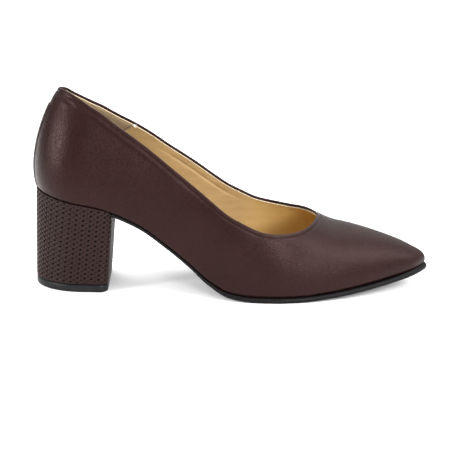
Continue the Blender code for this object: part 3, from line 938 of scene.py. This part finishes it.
def make_grip_seams():
    """Brown thread down the grip's two slanting edges."""
    downs = np.linspace(0.01, 0.97, 80)
    lines = []
    for end in (-0.985, 0.985):
        lines.append([grip_point(np.array([end]), down, [GRIP_FACE])[0] for down in downs])
    return run_tree(line_of("grip_seams", lines), STITCHES, {
        "Stitch to stitch": 0.0019, "Stitch length": 0.0021, "Thread": 0.00036, "Seed": 4,
        "Material": brown_thread.material})


grip_seams = make_grip_seams()
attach(grip_seams, "root")

white_thread = Finish("white_thread", 0.8, Specular_IOR_Level=0.1)
white_thread.tint(white_thread.grain(2500), *THREAD_WHITES)


def make_thread_end():
    """Frayed white end of the lining's thread, under the rim on the inner side."""
    start = grip_point(np.array([1.0]), 0.0, [GRIP_FACE])[0] + (0.0003, -0.0004, 0.0001)
    lines = []
    strands = [(0.0018, 0.0004), (0.0012, 0.0011), (0.0002, 0.0013), (-0.0008, 0.0007), (0.0013, -0.0006)]
    for along, up in strands:
        middle = start + np.array((along * 0.5, -0.0002, up * 0.65))
        lines.append([start, middle, start + np.array((along, -0.0001, up))])
    return run_tree(line_of("thread_end", lines), STITCHES, {
        "Stitch to stitch": 0.0003, "Stitch length": 0.0005, "Thread": 0.00036, "Seed": 2,
        "Material": white_thread.material})


thread_end = make_thread_end()
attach(thread_end, "root")


# Outsole: one thin black rubber sole, glued on from the heel's breast to the toe.
# Its edge is rounded and just shows past the upper, a little more at the toe.
HEEL_LENGTH_TOP = 0.0475   # back to breast, just under the upper
SOLE_EDGE_BALL = 0.0004    # how far the sole shows past the upper at the ball
SOLE_EDGE_TOE = 0.0014
SOLE_EDGE_WAIST = -0.0008  # under the arch it is set back
SOLE_ROUND = 0.0014        # radius of its edges
TOE_LIP = 0.0014           # how far its rim climbs the toe
TOE_ROUNDER = 0.0008       # how much rounder the edge is at the toe
RUBBER_BLACKS = (0.0040, 0.0033, 0.0036), (0.0072, 0.0062, 0.0066)

black_rubber = Finish("black_rubber", 0.45, Specular_IOR_Level=0.10)
black_rubber.tint(black_rubber.grain(130, 4).stretch(0.35, 0.75), *RUBBER_BLACKS)
black_rubber.bump(black_rubber.grain(1500, 2), 0.00008, 0.4)


def make_outsole():
    """Closed plate of cross rungs, flat above and below; its edge is round all the way to the toe."""
    first = turn_of((HEEL_LENGTH_TOP + GAP) / LAST_LENGTH)
    turns = np.concatenate([np.linspace(first, 0.93, 150), np.linspace(0.933, 0.9995, 40)])
    along = along_of(turns)
    edge = SOLE_EDGE_WAIST + (SOLE_EDGE_BALL - SOLE_EDGE_WAIST) * ease(along, 0.36, 0.50)
    edge = edge + (SOLE_EDGE_TOE - SOLE_EDGE_BALL) * ease(along, 0.62, 0.88)
    bottom = underside(along)
    level = bottom + sole_thickness(along) + GAP * 0.9
    top = level + TOE_LIP * ease(along, 0.90, 1.0)
    radius = np.minimum(SOLE_ROUND + TOE_ROUNDER * ease(along, 0.90, 1.0), (top - bottom) / 2)
    angles = np.linspace(0, math.pi / 2, 6)
    profile = [(1 - math.sin(a), top - radius * (1 - math.cos(a))) for a in angles]
    profile += [(1 - math.cos(a), bottom + radius * (1 - math.sin(a))) for a in angles]
    sides = []
    for s in (OUTER, INNER):
        foot, out = foot_point(turns, s), outward(turns, s)
        line = []
        for inset, height in profile:
            point = foot + out * (edge - radius * inset)[:, None]
            point[:, 2] = height
            line.append(point)
        sides.append(line)
    outer, inner = sides
    steps = np.linspace(0.03, 0.97, 15)
    ring = outer + [outer[-1] * (1 - share) + inner[-1] * share for share in steps]
    ring += inner[::-1] + [inner[0] * (1 - share) + outer[0] * share for share in steps]
    for point in ring[-len(steps):]:
        point[:, 2] = level
    grid = np.stack(ring, axis=1)
    count = grid.shape[1]
    caps = [tuple(range(count)), tuple(range((len(turns) - 1) * count, len(turns) * count))]
    return new_piece("outsole_rubber", [(grid, True)], black_rubber, caps)


outsole_rubber = make_outsole()
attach(outsole_rubber, "root")
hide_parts("outsole")


# Heel: a wooden block covered in leather plaited from flat strips on the slant.
# The plait is modelled: strips go over and under, and leave a hole where four of them meet. Holes, slots and
# the valleys between strips are painted darker: partly the dark backing that shows through, partly painted
# shade.
TIP_THICKNESS = 0.0046
HEEL_LENGTH_FOOT = 0.0455  # back to breast, on the floor
HEEL_WIDTH_FOOT = 0.0475
HEEL_CORNER = 0.0055       # radius of the two upright edges beside the breast
HOLE_AROUND = 0.00421      # from hole to hole, around the heel
HOLE_UP = 0.00312          # and up it
PLAIT_LEAN = math.radians(-4.8)
PLAIT_SLANT = 0.061
PLAIT_FLAT_FOOT = 0.02     # shares of the heel's height over which the plait lies flat at its ends
PLAIT_FLAT_TOP = 0.01
SAME_POINT = 0.00001       # points closer than this are one
# Dark end of the plait: the backing seen in holes and slots, and painted shade
PLAIT_BACKING_AND_SHADE = (0.0020, 0.0010, 0.0010)
PLAIT_LIGHT = (0.0160, 0.0066, 0.0060)


def plait_finish(name, dark, light, shine):
    """Leather strips, dull and darker where they dip into a hole: the dark backing shows there, and shade is
    painted into the holes, slots and valleys.
    """
    finish = Finish(name, 0.42, Specular_IOR_Level=shine)
    depth = finish.kept("backing_and_painted_shade")
    # The colour runs to the dark end with the dark backing and the painted shade
    finish.tint(depth.stretch(0.1, 0.8), light, dark)
    finish.feed("Roughness", depth.stretch(0.0, 0.6, 0.42, 0.95))
    finish.bump(finish.pebble(1700), 0.00006, 0.4)
    return finish


plaited_calf = plait_finish("plaited_calf", PLAIT_BACKING_AND_SHADE, PLAIT_LIGHT, 0.12)


def plait_tree():
    """Stands a surface up into plaited strips, by its own measures around and up."""
    sizes = (
        "Hole to hole around", "Hole to hole up", "Lean", "Slant", "Strip rise", "Strip crown", "Hole depth")
    tree, given = start_tree("plait", {
        "Surface": "Geometry", **{name: "Float" for name in sizes}, "Material": "Material"})
    hole_around, hole_up, lean, slant, rise, crown, hole_depth = (
        Reading(tree, given[name]) for name in sizes)

    def measure(name):
        node = add_node(tree, "GeometryNodeInputNamedAttribute", {"Name": name}, data_type="FLOAT")
        return Reading(tree, node.outputs["Attribute"])

    around, up = measure("around"), measure("up")
    cos, sin = lean.work("COSINE"), lean.work("SINE")
    u = (around * cos - up * sin + up * slant) / hole_around
    v = (around * sin + up * cos) / hole_up
    p, q = u + v, v - u
    sign_p = (p.work("FLOOR") * math.pi).work("COSINE")
    sign_q = (q.work("FLOOR") * math.pi).work("COSINE")
    across_p, across_q = p.work("FRACT") - 0.5, q.work("FRACT") - 0.5
    falling = rise * (q * math.pi).work("SINE") * sign_p * -1.0 - crown * across_p * across_p * 4.0
    rising = rise * (p * math.pi).work("SINE") * sign_q - crown * across_q * across_q * 4.0
    strips = falling.work("SMOOTH_MAX", rising, 0.00004)
    # A hole is a slanting oval where four strips meet; the slots lie half way between the holes
    du, dv = u - u.work("ROUND"), v - v.work("ROUND")
    long_way, short_way = dv * 1.26 - du * 2.44, du * 2.83 + dv * 3.01
    spread = long_way * long_way + short_way * short_way
    hole = (spread * spread * -9.0).work("EXPONENT")
    mu, mv = (u + 0.5) - (u + 0.5).work("ROUND"), (v + 0.5) - (v + 0.5).work("ROUND")
    mark_long, mark_short = mv * 1.18 - mu * 2.29, mu * 5.07 + mv * 5.40
    slot = ((mark_long * mark_long + mark_short * mark_short) * -3.2).work("EXPONENT")
    height = strips - hole_depth * (hole + slot * 0.45)
    # Painted shade in the valleys between strips; with the holes and slots it darkens the colour through the
    # mask of backing and painted shade
    valley_painted_shade = (strips / crown * -1.0 - 0.15).stretch(0.0, 1.0, 0.0, 0.40)
    dark = (hole * 1.3 + slot * 0.70 + valley_painted_shade).work("MINIMUM", 1.0) * measure("relief")
    keep = add_node(tree, "GeometryNodeStoreNamedAttribute", {
        "Geometry": given["Surface"], "Name": "backing_and_painted_shade", "Value": dark}, data_type="FLOAT", domain="POINT")
    lift = add_node(tree, "ShaderNodeVectorMath", {
        0: tree.nodes.new("GeometryNodeInputNormal").outputs["Normal"], "Scale": height * measure("relief")},
        operation="SCALE")
    move = add_node(tree, "GeometryNodeSetPosition", {
        "Geometry": keep.outputs["Geometry"], "Offset": lift.outputs["Vector"]})
    return end_tree(tree, given, move.outputs["Geometry"])


PLAIT = plait_tree()


def plait(piece, finish, around, up, relief, sizes):
    """Keeps a piece's measures for the tree, and stands the piece up into strips."""
    mark(piece, "around", around)
    mark(piece, "up", up)
    mark(piece, "relief", relief)
    return run_tree(piece, PLAIT, {
        "Hole to hole around": HOLE_AROUND, "Hole to hole up": HOLE_UP, "Material": finish.material, **sizes})


def heel_outline(level, inset=0.0):
    """Half outline of the heel, from the middle of its back to the middle of its breast."""
    back = BACK_CURVE + HEEL_INSET + inset - HEEL_SET_BACK * (1 - level)
    breast_top = BACK_CURVE + HEEL_LENGTH_TOP
    breast_foot = BACK_CURVE - HEEL_SET_BACK + HEEL_LENGTH_FOOT
    breast = breast_foot + (breast_top - breast_foot) * level - inset
    half = (HEEL_WIDTH_FOOT + (SEAT_WIDTH - HEEL_WIDTH_FOOT) * level) / 2 - HEEL_INSET - inset
    corner = HEEL_CORNER - inset
    angle = np.linspace(0, math.pi / 2, 60)
    round_back = np.stack([back + HEEL_ROUND * (1 - np.cos(angle)), half * np.sin(angle)], axis=-1)
    turn = np.stack([breast - corner * (1 - np.sin(angle)), half - corner * (1 - np.cos(angle))], axis=-1)
    return np.concatenate([round_back, turn, [[breast, 0.0]]])


def heel_wall(levels, columns, inset=0.0, low=TIP_THICKNESS + GAP * 2):
    """Grid round the heel with the measures around and up at each point; starts at the breast."""
    rows, around, up = [], [], []
    for level in levels:
        half = heel_outline(level, inset)
        whole = np.concatenate([half[::-1] * (1, -1), half[1:]])
        run = np.concatenate([[0], np.cumsum(np.linalg.norm(np.diff(whole, axis=0), axis=-1))])
        at = np.linspace(0, run[-1], columns + 1)[:-1]
        x, y = np.interp(at, run, whole[:, 0]), np.interp(at, run, whole[:, 1])
        top = seat_height(np.maximum(0.0, x - BACK_CURVE) / LAST_LENGTH) - GAP * 0.1
        z = low + (top - low) * level
        rows.append(np.stack([x + SHIFT[0], y + SHIFT[1], z], axis=-1))
        around.append(at - run[-1] / 2)
        up.append(z)
    return np.array(rows), np.array(around), np.array(up)


def closed_tube(wall):
    """Grids of a tube of points, closed at each end with rings that shrink to its middle."""
    lids = []
    for ring in (wall[0], wall[-1]):
        middle = ring.mean(axis=0)
        lids.append(np.array([middle + (ring - middle) * share for share in (1.0, 0.97, 0.8, 0.4, 0.0)]))
    return [(grid, True) for grid in (wall, *lids)]


def make_heel_cover():
    """Tube round the heel, closed above and below, and stood up into strips."""
    levels = np.linspace(0, 1, 166)
    wall, around, up = heel_wall(levels, 470)
    piece = new_piece("heel_cover", closed_tube(wall), plaited_calf)
    away, index = Finder(wall).nearest(points_of(piece))
    share = np.repeat(levels, wall.shape[1])[index]
    flat = np.clip(share / PLAIT_FLAT_FOOT, 0, 1) * np.clip((1 - share) / PLAIT_FLAT_TOP, 0, 1)
    relief = (away < SAME_POINT) * flat
    return plait(piece, plaited_calf, around.ravel()[index], up.ravel()[index], relief, {
        "Lean": PLAIT_LEAN, "Slant": PLAIT_SLANT,
        "Strip rise": 0.00030, "Strip crown": 0.00046, "Hole depth": 0.00058})


heel_cover = make_heel_cover()
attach(heel_cover, "root")
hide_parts("heel")


# Back strip: a thin strip of the same plaited leather glued over the seam at the back.
# It runs from a little under the topline down round the lower edge.
STRIP_HALF_WIDTH = 0.0072
STRIP_THICKNESS = 0.00040
STRIP_SKIVED = 0.0015      # its edges thin out over this width
STRIP_GLUE = 0.00005       # between it and the upper
STRIP_BORDER = 0.0006      # the plait lies flat along its sides
STRIP_RELIEF = 0.45        # and stands up less than on the heel
# Dark end of the strip's plait: the backing in holes and slots, and painted shade
STRIP_BACKING_AND_SHADE = (0.0060, 0.0027, 0.0025)
STRIP_LIGHT = (0.0200, 0.0088, 0.0080)
STRIP_TOP = 0.81           # share of the back's height that it reaches

strip_calf = plait_finish("strip_calf", STRIP_BACKING_AND_SHADE, STRIP_LIGHT, 0.22)


def make_back_strip():
    """Closed sheet from under the lower edge up the back, thin at its two sides."""
    fine = np.linspace(0, 0.3, 3001)
    line = foot_point(fine, INNER)
    run = np.concatenate([[0], np.cumsum(np.linalg.norm(np.diff(line, axis=0), axis=-1))])
    limit = float(np.interp(STRIP_HALF_WIDTH, run, fine))
    columns, rows = 44, 140
    spread = np.linspace(-1, 1, columns + 1)
    turn, side = np.abs(spread) * limit, np.where(spread < 0, OUTER, INNER)
    t = (topline(0.0, OUTER) * np.linspace(0, STRIP_TOP, rows + 1))[:, None]
    points = wall_point(turn[None], side[None], t)
    normals = wall_normal(turn[None], side[None], t)
    under = roll_grid(turn, side)[ROLL_ROWS - 1:0:-1]
    bend = (math.pi / 2 * np.arange(1, ROLL_ROWS) / ROLL_ROWS)[:, None, None]
    out = outward(turn, side)[None]
    points = np.concatenate([under, points])
    normals = np.concatenate([out * np.sin(bend) - UP * np.cos(bend), normals])
    skived = ease((1 - np.abs(spread)) * STRIP_HALF_WIDTH, -STRIP_SKIVED / 2, STRIP_SKIVED)
    shown = points + normals * (STRIP_THICKNESS * skived + 2 * STRIP_GLUE)[None, :, None]
    hidden = points + normals * STRIP_GLUE
    piece = new_piece("back_strip_cover", sheet(shown, hidden), strip_calf)
    away, index = Finder(shown).nearest(points_of(piece))
    across = np.broadcast_to(spread * STRIP_HALF_WIDTH, shown.shape[:2]).ravel()[index]
    steps = np.linalg.norm(np.diff(shown[:, columns // 2], axis=0), axis=-1)
    height = np.concatenate([[0], np.cumsum(steps)])
    up = np.broadcast_to(height[:, None], shown.shape[:2]).ravel()[index]
    flat = np.clip((STRIP_HALF_WIDTH - STRIP_BORDER - np.abs(across)) / STRIP_BORDER, 0, 1)
    relief = STRIP_RELIEF * (away < SAME_POINT) * flat
    return plait(piece, strip_calf, across, up, relief, {
        "Strip rise": 0.00010, "Strip crown": 0.00016, "Hole depth": 0.00030})


back_strip_cover = make_back_strip()
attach(back_strip_cover, "root")
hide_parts("back_strip")


# Heel tip: a black rubber top piece, which wears on the floor and is renewed.
# It is nailed and glued under the heel, and its edges are rounded a little.
TIP_ROUND = 0.0006         # radius of its lower edge
TIP_BEVEL = 0.0003         # at its upper edge
TIP_BLACKS = (0.0052, 0.0055, 0.0060), (0.0092, 0.0096, 0.0104)

tip_rubber = Finish("tip_rubber", 0.42, Specular_IOR_Level=0.18)
tip_rubber.tint(tip_rubber.grain(180, 4, (1, 1, 0.4)).stretch(0.35, 0.75), *TIP_BLACKS)
tip_rubber.bump(tip_rubber.grain(1400, 2), 0.00008, 0.4)


def make_heel_tip():
    """Plate with the heel's outline, round at its lower edge and bevelled at the upper one."""
    angles = np.linspace(0, math.pi / 2, 6)
    profile = [(TIP_ROUND * (1 - math.sin(a)), TIP_ROUND * (1 - math.cos(a))) for a in angles]
    profile += [(0.0, TIP_THICKNESS / 2), (0.0, TIP_THICKNESS - TIP_BEVEL), (TIP_BEVEL, TIP_THICKNESS)]
    rows = []
    for inset, height in profile:
        ring = heel_wall([0.0], 260, inset)[0][0]
        ring[:, 2] = height
        rows.append(ring)
    return new_piece("heel_tip_rubber", closed_tube(np.array(rows)), tip_rubber)


heel_tip_rubber = make_heel_tip()
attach(heel_tip_rubber, "root")
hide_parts("heel_tip")
